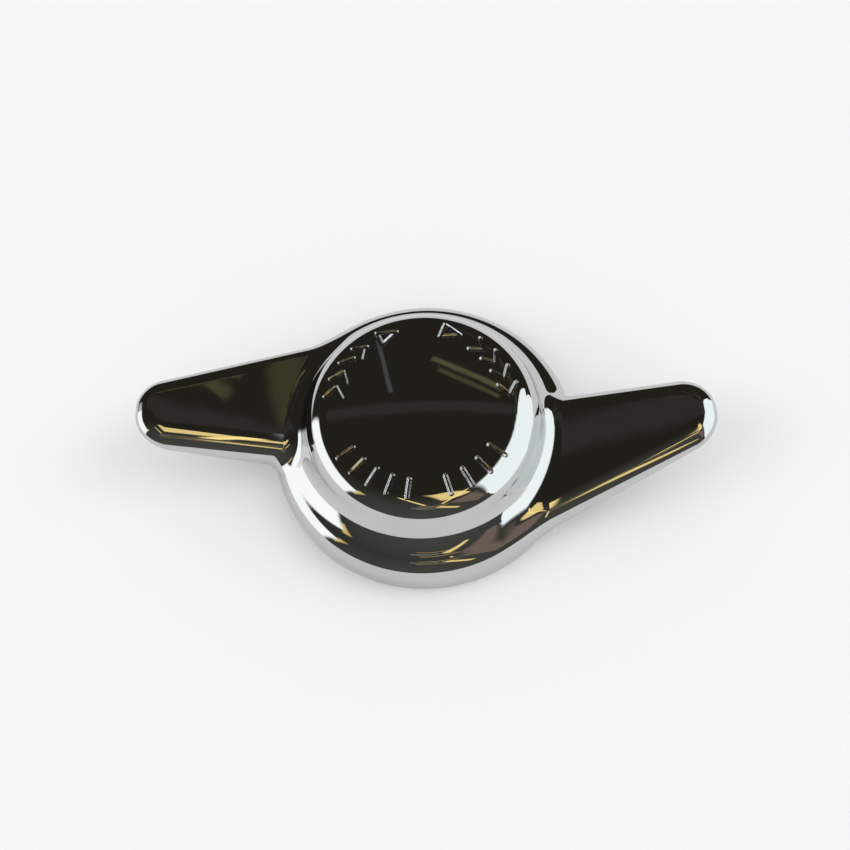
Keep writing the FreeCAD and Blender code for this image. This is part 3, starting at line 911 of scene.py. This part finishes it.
def glow_material(name, colour, strength, soft):
    """A glow whose edges fade out over a share of the sheet's width."""
    material, nodes, links, shader = new_material(name)
    tree = material.node_tree
    nodes.remove(shader)
    glow = nodes.new("ShaderNodeEmission")
    glow.inputs["Color"].default_value = (*colour, 1)
    glow.inputs["Strength"].default_value = strength
    clear = nodes.new("ShaderNodeBsdfTransparent")
    mix = nodes.new("ShaderNodeMixShader")
    uv = nodes.new("ShaderNodeTexCoord")
    split = nodes.new("ShaderNodeSeparateXYZ")
    links.new(uv.outputs["UV"], split.inputs[0])
    fades = []
    for axis, share in zip("XY", soft):
        off = link_math(tree, "SUBTRACT", split.outputs[axis], HALF_WAY)
        off = link_math(tree, "ABSOLUTE", off)
        fade = nodes.new("ShaderNodeMapRange")
        fade.interpolation_type = "SMOOTHSTEP"
        fade.inputs["From Min"].default_value = HALF_WAY
        fade.inputs["From Max"].default_value = HALF_WAY - share
        links.new(off, fade.inputs["Value"])
        fades.append(fade.outputs[0])
    join(
        tree,
        (link_math(tree, "MULTIPLY", *fades), mix.inputs[0]),
        (clear.outputs[0], mix.inputs[1]),
        (glow.outputs[0], mix.inputs[2]),
        (mix.outputs[0], nodes["Material Output"].inputs[0]),
    )
    return material


def sheet(name, corners, colour, strength, soft):
    """A glowing sheet of four corners."""
    mesh = bpy.data.meshes.new(name)
    mesh.from_pydata([tuple(c) for c in corners], [], [(0, 1, 2, 3)])
    uv = mesh.uv_layers.new(name="UVMap")
    for loop, place in zip(uv.data, ((0, 0), (1, 0), (1, 1), (0, 1))):
        loop.uv = place
    piece = unseen_by_lens(stage_object(name, mesh))
    piece.data.materials.append(glow_material(name, colour, strength, soft))
    return piece


def card(name, azimuth, elevation, width, height, distance, colour, strength, soft):
    """A sheet that faces the spinner, sized by the angles that it fills."""
    out = direction(azimuth, elevation)
    across = np.cross([0, 0, 1], out)
    across /= np.linalg.norm(across)
    upward = np.cross(out, across)
    a = distance * math.tan(math.radians(width / 2))
    b = distance * math.tan(math.radians(height / 2))
    middle = distance * out
    corners = [middle - a * across - b * upward, middle + a * across - b * upward,
               middle + a * across + b * upward, middle - a * across + b * upward]
    return sheet(name, corners, colour, strength, soft)


CEILING = 1.2
LAMP_FADE = (0.03, 0.3)


def panel(name, plan, colour, strength, soft, height=CEILING):
    """A four-cornered sheet on the ceiling; its corners are shares of the height."""
    corners = [(x * height, y * height, height) for x, y in plan]
    return sheet(name, corners, colour, strength, soft)


def line_lamp(name, start, end, width, colour, strength, height=CEILING):
    """A long lamp on the ceiling, from start to end; a share of its width at each side fades."""
    start, end = np.array(start), np.array(end)
    run = (end - start) / np.linalg.norm(end - start)
    side = np.array([-run[1], run[0]]) * width / 2
    plan = [start - side, end - side, end + side, start + side]
    return panel(name, plan, colour, strength, LAMP_FADE, height)


print("the ceiling is", CEILING, "m above the paper")

# %% [markdown]
# ## Where the cards and lamps hang
# Chrome shows each lamp at the place where the surface turns its picture towards the camera. So
# each lamp's place was worked back from a streak in the photograph, as a place on the ceiling in
# shares of its height. The golden lines on the cap and the ears are the warm ones, and the dim
# ones are the brown and olive shades between them.

# %% Hang the cards and the lamps
WHITE, COOL = (0.97, 1.0, 0.99), (0.93, 0.99, 1.0)
GOLD, BROWN, OLIVE = (1.0, 0.76, 0.30), (0.42, 0.31, 0.26), (0.34, 0.31, 0.16)
GREY, CREAM = (0.6, 0.63, 0.56), (0.9, 0.85, 0.75)
# The name, the azimuth and elevation, the width and height in degrees, the distance in metres,
# the colour, the strength and the shares that fade
card("left_card", 184, 18, 56, 40, 1.6, WHITE, 1.7, (0.08, 0.12))
high_corners = [(0.3, -0.2), (2.0, -1.9), (2.2, 1.7), (0.3, 0.45)]
panel("right_card_high", high_corners, COOL, 1.6, (0.06, 0.04))
card("right_card_low", -4, 13, 82, 44, 2.9, COOL, 1.6, (0.06, 0.1))
window_corners = [(-0.06, 0.03), (0.12, -0.5), (0.46, -0.45), (0.04, 0.08)]
panel("warm_window", window_corners, GOLD, 1.3, (0.12, 0.12), 1.19)
# The name, the two ends, the width, the colour, the strength and the height
LINE_LAMPS = [
    ("warm_lamp_left_ear", (0.27, -0.15), (0.18, -0.74), 0.05, GOLD, 1.8, 1.18),
    ("warm_lamp_right_ear", (-0.21, -0.22), (-0.02, -0.74), 0.05, GOLD, 1.7, 1.17),
    ("warm_lamp_far", (0.16, -0.98), (0.92, -2.0), 0.16, GOLD, 1.4, 1.17),
    ("warm_lamp_low_left", (-2.6, -1.7), (-1.0, -0.72), 0.2, GOLD, 0.9, 1.16),
    ("brown_wall", (0.35, -0.6), (2.6, -2.8), 0.5, BROWN, 0.6, 1.21),
    ("thin_warm_near", (-0.12, -0.86), (0.3, -0.86), 0.03, GOLD, 1.0, 1.16),
    ("thin_warm_far", (-0.2, -1.22), (0.35, -1.22), 0.05, GOLD, 0.8, 1.16),
    ("grey_board", (-0.24, -1.02), (0.1, -1.02), 0.14, GREY, 0.45, 1.15),
    ("olive_band", (0.36, 0.5), (0.12, 1.5), 0.09, OLIVE, 0.22, 1.2),
    ("olive_curtain", (0.0, 0.74), (0.27, 0.58), 0.035, OLIVE, 0.45, 1.19),
    ("olive_curtain_two", (0.02, 0.68), (0.25, 0.54), 0.03, OLIVE, 0.3, 1.19),
    ("pale_post", (-0.22, 0.9), (-0.15, 0.56), 0.022, WHITE, 0.1, 1.19),
    ("dim_beam", (-0.5, 0.5), (0.42, 0.48), 0.07, CREAM, 0.05, 1.19),
]
for row in LINE_LAMPS:
    line_lamp(*row)
print("cards and lamps:", len(LINE_LAMPS) + 4)

# %% [markdown]
# ## The light on the paper
# The sheets don't light the paper, so two soft lamps and the world do, and the metal doesn't see
# the lamps. The world is white where the camera or a mirror looks at it, and dimmer as a light,
# so the paper stays just under white and keeps the shadow.

# %% Lamps that light the paper
LAMP_SIZE, LAMP_RADIANCE = (1.2, 1.2), 1.9


def area_lamp(name, place, size, radiance):
    """A soft lamp that points at the spinner and shows in no mirror."""
    lamp = bpy.data.lights.new(name, "AREA")
    lamp.shape = "RECTANGLE"
    lamp.size, lamp.size_y = size
    lamp.energy = radiance * math.pi * size[0] * size[1]
    holder = bpy.data.objects.new(name, lamp)
    holder.location = place
    turn_to = (-Vector(place)).to_track_quat("-Z", "Y")
    holder.rotation_euler = turn_to.to_euler()
    holder.visible_camera = False
    holder.visible_glossy = False
    bpy.context.scene.collection.objects.link(holder)
    return holder


area_lamp("left_lamp", (-1.5, -0.3, 1.2), LAMP_SIZE, LAMP_RADIANCE)
area_lamp("right_lamp", (1.5, 0.2, 1.3), LAMP_SIZE, LAMP_RADIANCE)
print("area lamps:", len(bpy.data.lights))

# %% The world
WORLD_LEVEL = 0.75
world = bpy.data.worlds.new("world")
bpy.context.scene.world = world
world.use_nodes = True
nodes, links = world.node_tree.nodes, world.node_tree.links
sky = nodes["Background"]
rays = nodes.new("ShaderNodeLightPath")
looked_at = rays.outputs["Is Camera Ray"]
for kind in ("Is Glossy Ray", "Is Transmission Ray"):
    looked_at = link_math(world.node_tree, "MAXIMUM", looked_at, rays.outputs[kind])
level_of = spread(nodes, links, looked_at, WORLD_LEVEL, 1, 0, 1)
links.new(level_of, sky.inputs["Strength"])
sky.inputs["Color"].default_value = (1, 1, 1, 1)
print("the world is 1 where it is looked at, and", WORLD_LEVEL, "as a light")
